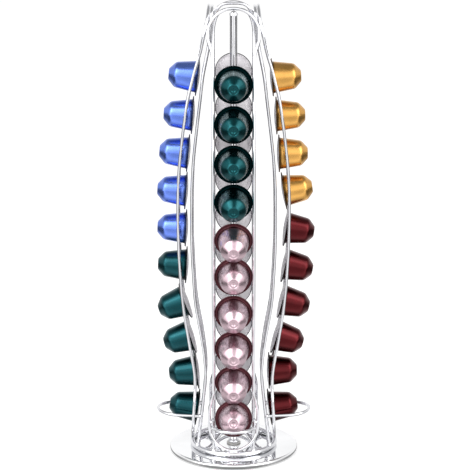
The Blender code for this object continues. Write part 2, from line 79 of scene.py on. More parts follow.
class Graph:
    """Node tree of one material or world, with short calls to add and join nodes."""

    def __init__(self, owner: bpy.types.ID) -> None:
        """Empties the owner's tree.

        Args:
            owner: Material or world that uses nodes.
        """
        owner.use_nodes = True
        self.tree = owner.node_tree
        self.tree.nodes.clear()

    def add(self, kind: str, inputs: dict | None = None, **settings: object) -> bpy.types.Node:
        """Adds a node.

        Args:
            kind: Type of the node, without "ShaderNode".
            inputs: Values or sockets by input name or number.
            **settings: Attributes of the node.

        Returns:
            The new node.
        """
        node = self.tree.nodes.new("ShaderNode" + kind)
        for name, value in settings.items():
            setattr(node, name, value)
        for key, value in (inputs or {}).items():
            if isinstance(value, bpy.types.NodeSocket):
                self.tree.links.new(value, node.inputs[key])
            else:
                node.inputs[key].default_value = value
        return node

    def math(self, operation: str, *values: object, clamp: bool = False) -> bpy.types.NodeSocket:
        """Adds a Math node.

        Args:
            operation: Name of the operation.
            *values: Numbers or sockets, in the order of the inputs.
            clamp: True to keep the result from 0 to 1.

        Returns:
            The result's socket.
        """
        return self.add("Math", dict(enumerate(values)), operation=operation, use_clamp=clamp).outputs[0]

    def ramp(self, value: bpy.types.NodeSocket, low: float, high: float,
             start: float = 0.0, end: float = 1.0) -> bpy.types.NodeSocket:
        """Blends smoothly from start to end as a value goes from low to high.

        Args:
            value: Socket that is read.
            low: Value at which the blend starts.
            high: Value at which it ends.
            start: Result at low.
            end: Result at high.

        Returns:
            The result's socket.
        """
        inputs = {"Value": value, "From Min": low, "From Max": high, "To Min": start, "To Max": end}
        return self.add("MapRange", inputs, interpolation_type="SMOOTHSTEP").outputs[0]

    def noise(self, vector: bpy.types.NodeSocket, scale: float, detail: float = 2.0,
              rough: float = 0.5) -> bpy.types.NodeSocket:
        """Adds a noise pattern.

        Args:
            vector: Coordinates in metres.
            scale: Cells per metre.
            detail: Octaves.
            rough: Share of the finer octaves.

        Returns:
            The pattern's value, round 0.5.
        """
        inputs = {"Vector": vector, "Scale": scale, "Detail": detail, "Roughness": rough}
        return self.add("TexNoise", inputs).outputs[0]

    def tint(self, factor: bpy.types.NodeSocket, first: Sequence[float],
             second: Sequence[float] | bpy.types.NodeSocket) -> bpy.types.NodeSocket:
        """Mixes two colours.

        Args:
            factor: Share of the second colour.
            first: First colour.
            second: Second colour, or its socket.

        Returns:
            The colour's socket.
        """
        node = self.add("Mix", {0: factor}, data_type="RGBA")
        node.inputs[6].default_value = (*first, 1.0)
        if isinstance(second, bpy.types.NodeSocket):
            self.tree.links.new(second, node.inputs[7])
        else:
            node.inputs[7].default_value = (*second, 1.0)
        return node.outputs[2]

    def bump(self, height: bpy.types.NodeSocket, strength: float, distance: float,
             under: bpy.types.NodeSocket | None = None) -> bpy.types.NodeSocket:
        """Adds a bump.

        Args:
            height: Socket of the height, from 0 to 1.
            strength: Share of the bump.
            distance: Height in metres that 1 stands for.
            under: Normal of a coarser bump below it.

        Returns:
            The normal's socket.
        """
        inputs: dict = {"Height": height, "Strength": strength, "Distance": distance}
        if under is not None:
            inputs["Normal"] = under
        return self.add("Bump", inputs).outputs[0]

    def surface(self, inputs: dict) -> None:
        """Adds the Principled shader and the output.

        Args:
            inputs: Values or sockets of the shader.
        """
        shader = self.add("BsdfPrincipled", inputs)
        self.add("OutputMaterial", {"Surface": shader.outputs[0]})


@dataclass(frozen=True)
class Finish:
    """Surface finish of pieces, with the record's slot that it belongs to."""

    name: str
    slot: str
    colour: tuple[float, float, float]
    roughness: float

    def material(self) -> bpy.types.Material:
        """Material of the finish, made the first time it is asked for."""
        found = bpy.data.materials.get("look_" + self.name)
        if found is None:
            found = bpy.data.materials.new("look_" + self.name)
            self.paint(Graph(found))
        return found

    def paint(self, graph: Graph) -> None:
        """Draws the finish.

        Args:
            graph: Empty tree of the material.
        """
        raise NotImplementedError

    def dress(self, item: bpy.types.Object) -> None:
        """Puts the finish on every face of an object.

        Args:
            item: Mesh object.
        """
        item.data.materials.clear()
        item.data.materials.append(self.material())

    def shade(self, share: float) -> tuple[float, float, float]:
        """The finish's colour, times a share."""
        return tuple(channel * share for channel in self.colour)


@dataclass(frozen=True)
class ChromePlate(Finish):
    """Polished chrome on steel wire or tube, with the faint ripple of drawn steel under it."""

    ripple: float = 420.0

    def paint(self, graph: Graph) -> None:
        """Draws mirror metal with soft haze, fine ripple and slightly duller patches."""
        place = graph.add("TexCoord").outputs["Object"]
        haze = graph.noise(place, 38.0, 3.0)
        colour = graph.tint(graph.ramp(haze, 0.42, 0.68), self.colour, self.shade(0.90))
        rough = graph.ramp(haze, 0.35, 0.75, self.roughness, self.roughness * 1.9)
        ripple = graph.noise(place, self.ripple, 1.0)
        normal = graph.bump(ripple, 0.05, 0.00025)
        graph.surface({"Base Color": colour, "Metallic": 1.0, "Roughness": rough, "Normal": normal})


@dataclass(frozen=True)
class MirrorPlate(Finish):
    """Mirror polish on a turned disc, with the hair lines of its polishing round the axis."""

    def paint(self, graph: Graph) -> None:
        """Draws mirror metal with faint rings and a little haze."""
        place = graph.add("TexCoord").outputs["Object"]
        axes = graph.add("SeparateXYZ", {0: place})
        across = graph.math("MULTIPLY", axes.outputs[0], axes.outputs[0])
        away = graph.math("MULTIPLY", axes.outputs[1], axes.outputs[1])
        radius = graph.math("SQRT", graph.math("ADD", across, away))
        rise = graph.math("MULTIPLY", axes.outputs[2], 0.2)
        line = graph.add("CombineXYZ", {0: radius, 1: rise}).outputs[0]
        rings = graph.noise(line, 3200.0, 2.0)
        haze = graph.noise(place, 22.0, 3.0)
        colour = graph.tint(graph.ramp(haze, 0.40, 0.70), self.colour, self.shade(0.93))
        rough = graph.ramp(haze, 0.35, 0.75, self.roughness, self.roughness * 2.0)
        normal = graph.bump(rings, 0.02, 0.00005)
        graph.surface({"Base Color": colour, "Metallic": 1.0, "Roughness": rough, "Normal": normal})


@dataclass(frozen=True)
class LacqueredAluminium(Finish):
    """Tinted lacquer on drawn aluminium, with lines of the draw, a clear gloss above and painted shade on the
    rim and flange.
    """

    deep: float = 0.86
    coat: float = 0.22
    # Share of the colour that is left in the painted shade on the rim and flange.
    painted_rim_shade: tuple[float, float, float] = (0.10, 0.10, 0.10)

    def paint(self, graph: Graph) -> None:
        """Draws satin metal whose tint and gloss vary a little round the cup, with painted shade on the rim
        and flange.
        """
        turned = graph.add("Attribute", attribute_name="turned").outputs["Vector"]
        axes = graph.add("SeparateXYZ", {0: turned})
        angle = graph.math("ARCTAN2", axes.outputs[1], axes.outputs[0])
        draw = graph.add("CombineXYZ", {
            0: graph.math("MULTIPLY", graph.math("SINE", angle), 0.015),
            1: graph.math("MULTIPLY", graph.math("COSINE", angle), 0.015),
            2: graph.math("MULTIPLY", axes.outputs[2], 0.06),
        }).outputs[0]
        lines = graph.noise(draw, 1500.0, 2.0, 0.6)
        place = graph.add("TexCoord").outputs["Object"]
        cloud = graph.noise(place, 90.0, 2.0)
        grain = graph.noise(place, 2600.0, 1.0)
        tone = graph.tint(graph.ramp(cloud, 0.35, 0.70), self.colour, self.shade(self.deep))
        # Painted shade: below 3.4 mm of the cup's height the colour darkens to a share of itself and the coat
        # fades out, fully below 0.9 mm. This stands in for the shade on the rim and flange between the cup,
        # its neighbours and the wires.
        flange = graph.ramp(axes.outputs[2], 0.0009, 0.0034)
        rim_shade_colour = tuple(part * share for part, share in zip(self.colour, self.painted_rim_shade))
        colour = graph.tint(flange, rim_shade_colour, tone)
        rough = graph.ramp(lines, 0.30, 0.72, self.roughness * 0.85, self.roughness * 1.2)
        normal = graph.bump(grain, 0.06, 0.00004, graph.bump(lines, 0.05, 0.00006))
        graph.surface({
            "Base Color": colour, "Metallic": 1.0, "Roughness": rough, "Normal": normal,
            "Coat Weight": graph.math("MULTIPLY", flange, self.coat), "Coat Roughness": 0.16,
        })


@dataclass(frozen=True)
class LidFoil(Finish):
    """Aluminium foil sealed on the cup's rim, tight but a little creased, with a crimped edge."""

    def paint(self, graph: Graph) -> None:
        """Draws silver foil with soft creases and fine crimps along its edge."""
        turned = graph.add("Attribute", attribute_name="turned").outputs["Vector"]
        axes = graph.add("SeparateXYZ", {0: turned})
        across = graph.math("MULTIPLY", axes.outputs[0], axes.outputs[0])
        away = graph.math("MULTIPLY", axes.outputs[1], axes.outputs[1])
        radius = graph.math("SQRT", graph.math("ADD", across, away))
        angle = graph.math("ARCTAN2", axes.outputs[1], axes.outputs[0])
        teeth = graph.math("SINE", graph.math("MULTIPLY", angle, 120.0))
        crimp = graph.math("MULTIPLY", teeth, graph.ramp(radius, 0.0154, 0.0162))
        place = graph.add("TexCoord").outputs["Object"]
        crease = graph.noise(place, 170.0, 3.0, 0.6)
        grain = graph.noise(place, 1500.0, 2.0)
        colour = graph.tint(graph.ramp(grain, 0.3, 0.7), self.colour, self.shade(0.86))
        rough = graph.ramp(crease, 0.3, 0.7, self.roughness * 0.8, self.roughness * 1.3)
        coarse = graph.bump(crease, 0.35, 0.0007)
        normal = graph.bump(crimp, 0.4, 0.0001, coarse)
        graph.surface({"Base Color": colour, "Metallic": 1.0, "Roughness": rough, "Normal": normal})


@dataclass(frozen=True)
class TurnedSteel(Finish):
    """Plain turned steel of the bolt, with its tool marks."""

    def paint(self, graph: Graph) -> None:
        """Draws satin steel with marks round the axis."""
        place = graph.add("TexCoord").outputs["Object"]
        axes = graph.add("SeparateXYZ", {0: place})
        line = graph.add("CombineXYZ", {2: axes.outputs[2]}).outputs[0]
        marks = graph.noise(line, 5200.0, 1.0)
        cloud = graph.noise(place, 140.0, 2.0)
        colour = graph.tint(cloud, self.colour, self.shade(0.8))
        rough = graph.ramp(marks, 0.3, 0.7, self.roughness * 0.8, self.roughness * 1.3)
        normal = graph.bump(marks, 0.2, 0.00008)
        graph.surface({"Base Color": colour, "Metallic": 1.0, "Roughness": rough, "Normal": normal})


@dataclass(frozen=True)
class Moulded(Finish):
    """Moulded nylon or foam rubber: matt, with grain and slight unevenness of tone."""

    grain: float = 900.0
    depth: float = 0.0001
    sheen: float = 0.0

    def paint(self, graph: Graph) -> None:
        """Draws a matt surface with fine grain."""
        place = graph.add("TexCoord").outputs["Object"]
        fine = graph.noise(place, self.grain, 3.0, 0.65)
        cloud = graph.noise(place, 60.0, 2.0)
        colour = graph.tint(cloud, self.shade(0.85), self.shade(1.1))
        rough = graph.ramp(fine, 0.3, 0.7, self.roughness * 0.9, min(self.roughness * 1.1, 1.0))
        normal = graph.bump(fine, 0.5, self.depth)
        graph.surface({
            "Base Color": colour, "Roughness": rough, "Normal": normal, "Sheen Weight": self.sheen,
        })


CHROME = ChromePlate("wire_chrome", "chrome_wire", (0.73, 0.732, 0.758), 0.035)
POLE_CHROME = ChromePlate("pole_chrome", "pole_chrome", (0.80, 0.802, 0.822), 0.05, 260.0)
MIRROR = MirrorPlate("disc_mirror", "mirror_chrome", (0.88, 0.885, 0.895), 0.03)
BOLT_STEEL = TurnedSteel("bolt_steel", "steel", (0.55, 0.56, 0.58), 0.32)
NYLON = Moulded("washer_nylon", "white_nylon", (0.80, 0.79, 0.76), 0.42, 1100.0, 0.00005)
FOAM = Moulded("pad_foam", "foam_rubber", (0.028, 0.028, 0.030), 0.88, 1400.0, 0.0003, 0.15)
FOIL = LidFoil("lid_foil", "capsule_silver", (0.60, 0.58, 0.60), 0.30)


class Lacquer(Enum):
    """Tints of the capsules."""

    GREEN = LacqueredAluminium("green_lacquer", "capsule_green", (0.002, 0.058, 0.066), 0.28)
    # The rose keeps a warmer, lighter painted shade on its rim and flange.
    ROSE = LacqueredAluminium("rose_lacquer", "capsule_rose", (0.58, 0.43, 0.48), 0.30,
                               painted_rim_shade=(0.13, 0.06, 0.065))
    GOLD = LacqueredAluminium("gold_lacquer", "capsule_gold", (0.62, 0.33, 0.080), 0.28)
    RED = LacqueredAluminium("red_lacquer", "capsule_red", (0.068, 0.002, 0.004), 0.26)
    SILVER = LacqueredAluminium("silver_lacquer", "capsule_silver", (0.62, 0.62, 0.64), 0.27)
    VIOLET = LacqueredAluminium("violet_lacquer", "capsule_violet", (0.15, 0.06, 0.20), 0.25)
    BLUE = LacqueredAluminium("blue_lacquer", "capsule_blue", (0.125, 0.215, 0.68), 0.28)
    TEAL = LacqueredAluminium("teal_lacquer", "capsule_teal", (0.002, 0.050, 0.060), 0.28)


class Bench:
    """Modelling tools, used as by hand: primitives, edit mode, curves and joins."""

    @staticmethod
    def only(item: bpy.types.Object) -> None:
        """Selects one object alone and makes it active."""
        bpy.ops.object.select_all(action="DESELECT")
        item.select_set(True)
        bpy.context.view_layer.objects.active = item

    @staticmethod
    def pick_ring(item: bpy.types.Object, radius: float, height: float) -> None:
        """Selects the vertices of one ring, in edit mode.

        Args:
            item: Object in edit mode.
            radius: Distance of the ring from Z.
            height: Height of the ring.
        """
        shape = bmesh.from_edit_mesh(item.data)
        for vertex in shape.verts:
            far = abs(math.hypot(vertex.co.x, vertex.co.y) - radius)
            vertex.select = far < 1e-6 and abs(vertex.co.z - height) < 1e-6
        shape.select_flush(True)
        bmesh.update_edit_mesh(item.data)

    @staticmethod
    def smooth(item: bpy.types.Object, angle: float = 38.0) -> None:
        """Shades an object smooth, apart from edges sharper than an angle in degrees."""
        Bench.only(item)
        bpy.ops.object.shade_smooth_by_angle(angle=math.radians(angle))

    @staticmethod
    def turned(name: str, profile: Profile, segments: int) -> bpy.types.Object:
        """Turns a profile round Z: a circle that is extruded and resized from ring to ring.

        Args:
            name: Name of the piece.
            profile: Radius and height of each ring. A first or last radius of 0 closes the
                shape on the axis, and otherwise the last ring joins the first.
            segments: Number of faces round the axis.

        Returns:
            The closed object, smooth shaded.
        """
        rings = [point for point in profile if point[0] > 0.0]
        first = rings[0]
        bpy.ops.object.select_all(action="DESELECT")
        bpy.ops.mesh.primitive_circle_add(vertices=segments, radius=first[0], location=(0.0, 0.0, first[1]))
        item = bpy.context.object
        item.name = item.data.name = name
        bpy.ops.object.transform_apply(location=True, rotation=True, scale=True)
        bpy.ops.object.mode_set(mode="EDIT")
        bpy.ops.mesh.select_all(action="SELECT")
        for before, after in zip(rings, rings[1:]):
            step = (0.0, 0.0, after[1] - before[1])
            bpy.ops.mesh.extrude_region_move(TRANSFORM_OT_translate={"value": step})
            share = after[0] / before[0]
            bpy.ops.transform.resize(value=(share, share, 1.0))
        if profile[-1][0] == 0.0:
            step = (0.0, 0.0, profile[-1][1] - rings[-1][1])
            bpy.ops.mesh.extrude_region_move(TRANSFORM_OT_translate={"value": step})
            bpy.ops.mesh.merge(type="CENTER")
        if profile[0][0] == 0.0:
            Bench.pick_ring(item, *first)
            step = (0.0, 0.0, profile[0][1] - first[1])
            bpy.ops.mesh.extrude_region_move(TRANSFORM_OT_translate={"value": step})
            bpy.ops.mesh.merge(type="CENTER")
        else:
            bpy.ops.mesh.select_all(action="DESELECT")
            bpy.ops.mesh.select_non_manifold()
            bpy.ops.mesh.bridge_edge_loops()
        bpy.ops.mesh.select_all(action="SELECT")
        bpy.ops.mesh.normals_make_consistent(inside=False)
        bpy.ops.object.mode_set(mode="OBJECT")
        Bench.smooth(item)
        return item

    @staticmethod
    def swept(name: str, path: Sequence[Vector], diameter: float, cyclic: bool) -> bpy.types.Object:
        """Draws a round wire along a path.

        Args:
            name: Name of the piece.
            path: Points of the wire's middle line.
            diameter: Diameter of the wire.
            cyclic: True for a loop that closes on itself.

        Returns:
            The wire as a closed mesh object.
        """
        bpy.ops.object.select_all(action="DESELECT")
        bpy.ops.curve.primitive_nurbs_path_add(location=(0.0, 0.0, 0.0))
        item = bpy.context.object
        item.name = name
        curve = item.data
        curve.splines.clear()
        spline = curve.splines.new("POLY")
        spline.points.add(len(path) - 1)
        for target, point in zip(spline.points, path):
            target.co = (*point, 1.0)
        spline.use_cyclic_u = cyclic
        spline.use_smooth = True
        curve.dimensions = "3D"
        curve.bevel_depth = diameter / 2.0
        curve.bevel_resolution = 7
        curve.use_fill_caps = not cyclic
        Bench.only(item)
        bpy.ops.object.convert(target="MESH")
        item = bpy.context.object
        item.name = item.data.name = name
        bpy.ops.object.mode_set(mode="EDIT")
        bpy.ops.mesh.select_all(action="SELECT")
        bpy.ops.mesh.remove_doubles(threshold=0.00001)
        bpy.ops.mesh.normals_make_consistent(inside=False)
        bpy.ops.object.mode_set(mode="OBJECT")
        Bench.smooth(item, 50.0)
        return item

    @staticmethod
    def bead(place: Vector, length: float, width: float, along: Vector) -> bpy.types.Object:
        """Makes the smooth bead of a weld between two wires.

        Args:
            place: Middle of the weld.
            length: Length of the bead.
            width: Its thickness.
            along: Direction of its length.

        Returns:
            The bead, as an object at the origin.
        """
        bpy.ops.object.select_all(action="DESELECT")
        bpy.ops.mesh.primitive_uv_sphere_add(segments=20, ring_count=12, radius=width / 2.0)
        item = bpy.context.object
        bpy.ops.object.mode_set(mode="EDIT")
        bpy.ops.mesh.select_all(action="SELECT")
        bpy.ops.transform.resize(value=(1.0, 1.0, length / width))
        bpy.ops.mesh.select_all(action="DESELECT")
        Bench.pick_belt(item, length * 0.22)
        bpy.ops.transform.resize(value=(1.12, 1.12, 1.0))
        bpy.ops.object.mode_set(mode="OBJECT")
        turn = along.to_track_quat("Z", "Y").to_matrix().to_4x4()
        return Bench.placed(item, Matrix.Translation(place) @ turn)

    @staticmethod
    def pick_belt(item: bpy.types.Object, reach: float) -> None:
        """Selects the vertices within a reach of the middle height, in edit mode."""
        shape = bmesh.from_edit_mesh(item.data)
        for vertex in shape.verts:
            vertex.select = abs(vertex.co.z) < reach
        shape.select_flush(True)
        bmesh.update_edit_mesh(item.data)

    @staticmethod
    def placed(item: bpy.types.Object, matrix: Matrix) -> bpy.types.Object:
        """Moves an object and keeps its place in its mesh, with the object at the origin."""
        item.matrix_world = matrix
        Bench.only(item)
        bpy.ops.object.transform_apply(location=True, rotation=True, scale=True)
        return item

    @staticmethod
    def copied(item: bpy.types.Object, name: str, matrix: Matrix) -> bpy.types.Object:
        """Copies an object with a mesh of its own, and places the copy."""
        twin = item.copy()
        twin.data = item.data.copy()
        twin.name = twin.data.name = name
        bpy.context.scene.collection.objects.link(twin)
        return Bench.placed(twin, matrix)

    @staticmethod
    def joined(name: str, pieces: Iterable[bpy.types.Object]) -> bpy.types.Object:
        """Joins objects into the first of them.

        Args:
            name: Name of the result.
            pieces: Objects to join.

        Returns:
            The joined object.
        """
        parts = list(pieces)
        bpy.ops.object.select_all(action="DESELECT")
        for part in parts:
            part.select_set(True)
        bpy.context.view_layer.objects.active = parts[0]
        if len(parts) > 1:
            bpy.ops.object.join()
        item = bpy.context.view_layer.objects.active
        item.name = item.data.name = name
        Bench.smooth(item, 50.0)
        return item


def arc(centre: tuple[float, float], radius: float, start: float, end: float,
        steps: int) -> list[tuple[float, float]]:
    """Lists points on an arc in the plane of radius and height.

    Args:
        centre: Radius and height of the arc's centre.
        radius: Radius of the arc.
        start: First angle in degrees.
        end: Last angle in degrees.
        steps: Number of steps between them.

    Returns:
        Radius and height of each point.
    """
    points = []
    for step in range(steps + 1):
        angle = math.radians(start + (end - start) * step / steps)
        points.append((centre[0] + radius * math.cos(angle), centre[1] + radius * math.sin(angle)))
    return points


def smooth_step(share: float) -> float:
    """Blends from 0 to 1 with level ends."""
    share = min(max(share, 0.0), 1.0)
    return share * share * (3.0 - 2.0 * share)


def finish_piece(item: bpy.types.Object, look: Finish, body: str, *nodes: str) -> bpy.types.Object:
    """Dresses a piece and ties it to the frame.

    Args:
        item: The piece.
        look: Its finish.
        body: CAD body that it rides on.
        *nodes: CAD nodes that it stands for.

    Returns:
        The piece.
    """
    look.dress(item)
    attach(item, body)
    if nodes:
        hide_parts(*nodes)
    LOG.info("%s: %d faces on %s", item.name, len(item.data.polygons), body)
    return item


@dataclass(frozen=True)
class Track:
    """Smooth line of distance from the tower's axis over height."""

    stations: tuple[tuple[float, float], ...]

    def radius(self, height: float) -> float:
        """Reads the distance from the axis at a height.

        Args:
            height: Height above the table.

        Returns:
            Distance from the tower's axis.
        """
        count = len(self.stations)
        slopes = []
        for index in range(count):
            above = self.stations[max(index - 1, 0)]
            below = self.stations[min(index + 1, count - 1)]
            slopes.append((above[1] - below[1]) / (above[0] - below[0]))
        lower = 1
        while lower < count - 1 and self.stations[lower][0] > height:
            lower += 1
        upper = lower - 1
        span = self.stations[upper][0] - self.stations[lower][0]
        share = min(max((height - self.stations[lower][0]) / span, 0.0), 1.0)
        square = share * share
        cube = square * share
        return (
            (2.0 * cube - 3.0 * square + 1.0) * self.stations[lower][1]
            + (cube - 2.0 * square + share) * span * slopes[lower]
            + (3.0 * square - 2.0 * cube) * self.stations[upper][1]
            + (cube - square) * span * slopes[upper]
        )


@dataclass
class Base:
    """Mirror disc on its foam pad, with the bolt and washer that the tower turns on."""

    diameter: float = 0.128
    top: float = 0.006
    underside: float = 0.0015
    edge: float = 0.002
    hole_radius: float = 0.0029
    seat_radius: float = 0.0054
    seat_top: float = 0.0036
    segments: int = 160

    def profile(self) -> Profile:
        """Outline of the disc, from the hole's top edge over the rim to the bolt's seat."""
        outer = self.diameter / 2.0 - self.edge
        upper = arc((outer, self.top - self.edge), self.edge, 90, 0, 8)
        lower = arc((outer, self.underside + self.edge), self.edge, 0, -90, 8)
        face = [(self.hole_radius, self.top), (self.hole_radius * 2.0, self.top), (outer * 0.98, self.top)]
        under = [
            (self.seat_radius, self.underside), (self.seat_radius, self.seat_top),
            (self.hole_radius, self.seat_top),
        ]
        return face + upper + lower + under

    def build(self) -> None:
        """Makes the disc and dresses the pieces that stay as they are."""
        disc = Bench.turned("base_disc_polished", self.profile(), self.segments)
        finish_piece(disc, MIRROR, "base", "base_disc")
        for node, look in (("foot_pad", FOAM), ("spindle_bolt", BOLT_STEEL), ("bearing_washer", NYLON)):
            look.dress(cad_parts[node])
            LOG.info("%s: kept with a new finish", node)


@dataclass
class Pole:
    """Chromed tube in the middle of the tower, with its domed cap."""

    diameter: float = 0.0075
    bore_radius: float = 0.0029
    top: float = 0.440
    foot_diameter: float = 0.0105
    foot_bottom: float = 0.0076
    foot_thickness: float = 0.0028
    cap_diameter: float = 0.0086
    cap_height: float = 0.0045
    gap: float = 0.0003
    segments: int = 64

    def tube_profile(self) -> Profile:
        """Outline of the tube, with a rolled flange at its foot."""
        outer = self.diameter / 2.0
        foot = self.foot_diameter / 2.0
        round_off = 0.0006
        foot_top = self.foot_bottom + self.foot_thickness
        return [
            (self.bore_radius, self.top),
            (outer, self.top),
            (outer, self.top * 0.6),
            (outer, foot_top + 0.0012),
            *arc((outer + 0.0008, foot_top + 0.0008), 0.0008, 180, 270, 4),
            *arc((foot - round_off, foot_top - round_off), round_off, 90, 0, 4),
            *arc((foot - round_off, self.foot_bottom + round_off), round_off, 0, -90, 4),
            (self.bore_radius, self.foot_bottom),
        ]

    def cap_profile(self) -> Profile:
        """Outline of the cap, from the top of its dome to the end of its plug."""
        radius = self.cap_diameter / 2.0
        plug = self.bore_radius - self.gap
        seat = self.top + self.gap
        dome = []
        for step in range(13):
            angle = math.pi / 2.0 * (1.0 - step / 12.0)
            across = radius * math.cos(angle) if step else 0.0
            dome.append((across, seat + self.cap_height * math.sin(angle)))
        return dome + [(plug, seat), (plug, seat - 0.006), (0.0, seat - 0.006)]

    def build(self) -> None:
        """Makes the tube and its cap."""
        tube = Bench.turned("center_pole_tube", self.tube_profile(), self.segments)
        finish_piece(tube, POLE_CHROME, "tower", "center_pole")
        cap = Bench.turned("pole_cap_dome", self.cap_profile(), self.segments)
        finish_piece(cap, POLE_CHROME, "tower", "pole_cap")


@dataclass
class Footing:
    """Ring that the wires are welded on, and the spider that carries it from the pole."""

    radius: float = 0.0412
    wire: float = 0.005
    height: float = 0.0089
    arm_wire: float = 0.004
    arm_count: int = 4
    arm_start: float = 0.0053
    hub_bore: float = 0.00405
    hub_diameter: float = 0.0125
    hub_length: float = 0.007
    hub_height: float = 0.027

    def arm_path(self, angle: float) -> list[Vector]:
        """Points of an arm, from the hub down to the ring.

        Args:
            angle: Direction of the arm in radians.

        Returns:
            Points of its middle line.
        """
        end = self.radius - self.wire / 2.0
        points = []
        for step in range(41):
            share = step / 40.0
            reach = self.arm_start + (end - self.arm_start) * share
            height = self.hub_height + (self.height - self.hub_height) * smooth_step(share)
            points.append(Vector((reach * math.cos(angle), reach * math.sin(angle), height)))
        return points

    def hub_profile(self) -> Profile:
        """Outline of the hub sleeve, with broken edges."""
        outer = self.hub_diameter / 2.0
        top = self.hub_height + self.hub_length / 2.0
        bottom = top - self.hub_length
        edge = 0.0006
        return [
            (self.hub_bore, top),
            *arc((outer - edge, top - edge), edge, 90, 0, 4),
            *arc((outer - edge, bottom + edge), edge, 0, -90, 4),
            (self.hub_bore, bottom),
        ]

    def build(self) -> None:
        """Makes the ring and the spider."""
        bpy.ops.object.select_all(action="DESELECT")
        bpy.ops.mesh.primitive_torus_add(
            major_radius=self.radius, minor_radius=self.wire / 2.0, major_segments=180, minor_segments=28,
            location=(0.0, 0.0, self.height),
        )
        ring = Bench.placed(bpy.context.object, Matrix.Translation((0.0, 0.0, self.height)))
        ring.name = ring.data.name = "base_ring_wire"
        Bench.smooth(ring)
        finish_piece(ring, CHROME, "tower", "base_ring")
        pieces = [Bench.turned("hub", self.hub_profile(), 48)]
        for number in range(self.arm_count):
            angle = 2.0 * math.pi * (number + 0.5) / self.arm_count
            path = self.arm_path(angle)
            pieces.append(Bench.swept("arm", path, self.arm_wire, False))
            along = Vector((-math.sin(angle), math.cos(angle), 0.0))
            pieces.append(Bench.bead(path[-2], *ARM_WELD, along))
        finish_piece(Bench.joined("ring_spider_arms", pieces), CHROME, "tower", "ring_spider")


@dataclass
class CapsuleShape:
    """Aluminium cup with a rolled rim and a ringed nose, sealed by a foil lid."""

    rim_radius: float = 18.5
    rim_half: float = 0.65
    seal_radius: float = 15.9
    seal_height: float = -0.70
    bulge_depth: float = 1.5
    bulge_steps: int = 14
    segments: int = 96

    def cup_profile(self) -> Profile:
        """Outline of the cup, from under the foil round the rolled rim to the nose, in metres."""
        flange = [(0.0, -0.34), (14.0, -0.34), (16.9, -0.34)]
        curl = arc((self.rim_radius - self.rim_half, 0.0), self.rim_half, -140, 150, 14)
        seat = [(16.9, 0.34), (16.1, 0.32), (15.75, 0.45), (15.50, 0.75), (15.38, 1.2)]
        body = [
            (15.18, 2.2), (15.06, 2.6), (15.10, 3.1), (15.02, 3.6), (14.55, 6.6), (14.02, 10.2),
            (13.48, 13.8), (13.00, 17.0), (12.72, 18.8), (12.50, 19.9), (12.28, 20.7), (11.98, 21.4),
            (11.58, 22.05), (11.05, 22.7),
        ]
        cone = [
            (10.3, 23.45), (9.0, 24.65), (7.7, 25.85), (6.6, 26.85), (6.0, 27.35), (5.55, 27.68),
            (5.20, 27.88), (4.90, 28.00), (4.62, 28.02), (4.38, 27.92), (4.22, 27.72), (4.05, 27.60),
            (3.80, 27.56),
        ]
        nose = [
            (3.1, 27.58), (2.5, 27.60), (2.15, 27.52), (1.85, 27.25), (1.55, 27.02), (1.2, 26.92),
            (0.6, 26.88), (0.0, 26.87),
        ]
        return [(radius * MM, height * MM) for radius, height in flange + curl + seat + body + cone + nose]

    def lid_profile(self) -> Profile:
        """Outline of the foil lid, from its hidden inside over the sealed edge to its bulge, in metres."""
        inside = [(0.0, -0.38), (15.0, -0.38)]
        edge = [
            (17.4, -0.40), (17.9, -0.44), (18.0, -0.52), (17.9, -0.62), (17.3, -0.68), (16.6, -0.68),
            (self.seal_radius, self.seal_height),
        ]
        bulge = []
        for step in range(1, self.bulge_steps + 1):
            share = 1.0 - step / self.bulge_steps
            depth = self.bulge_depth * (1.0 - share**2.2)
            bulge.append((self.seal_radius * share, self.seal_height - depth))
        return [(radius * MM, height * MM) for radius, height in inside + edge + bulge]

    @staticmethod
    def remember(item: bpy.types.Object) -> None:
        """Keeps a piece's own coordinates as an attribute that its finish follows."""
        attribute = item.data.attributes.new("turned", "FLOAT_VECTOR", "POINT")
        for target, vertex in zip(attribute.data, item.data.vertices):
            target.vector = vertex.co

    def models(self) -> tuple[bpy.types.Object, bpy.types.Object]:
        """Models one cup and one lid, nose up at the origin.

        Returns:
            The cup and the lid.
        """
        cup = Bench.turned("cup", self.cup_profile(), self.segments)
        lid = Bench.turned("lid", self.lid_profile(), self.segments)
        self.remember(cup)
        self.remember(lid)
        return cup, lid


@dataclass(frozen=True)
class Place:
    """Where a capsule stands in its column: distance from the axis, height and tilt."""

    radius: float
    height: float
    tilt: float

    def matrix(self, side: Side) -> Matrix:
        """Matrix from the capsule's own frame to the dispenser's."""
        turn = Matrix.Rotation(math.radians(90.0 - self.tilt), 4, "X")
        return side.turn @ Matrix.Translation((0.0, -self.radius, self.height)) @ turn


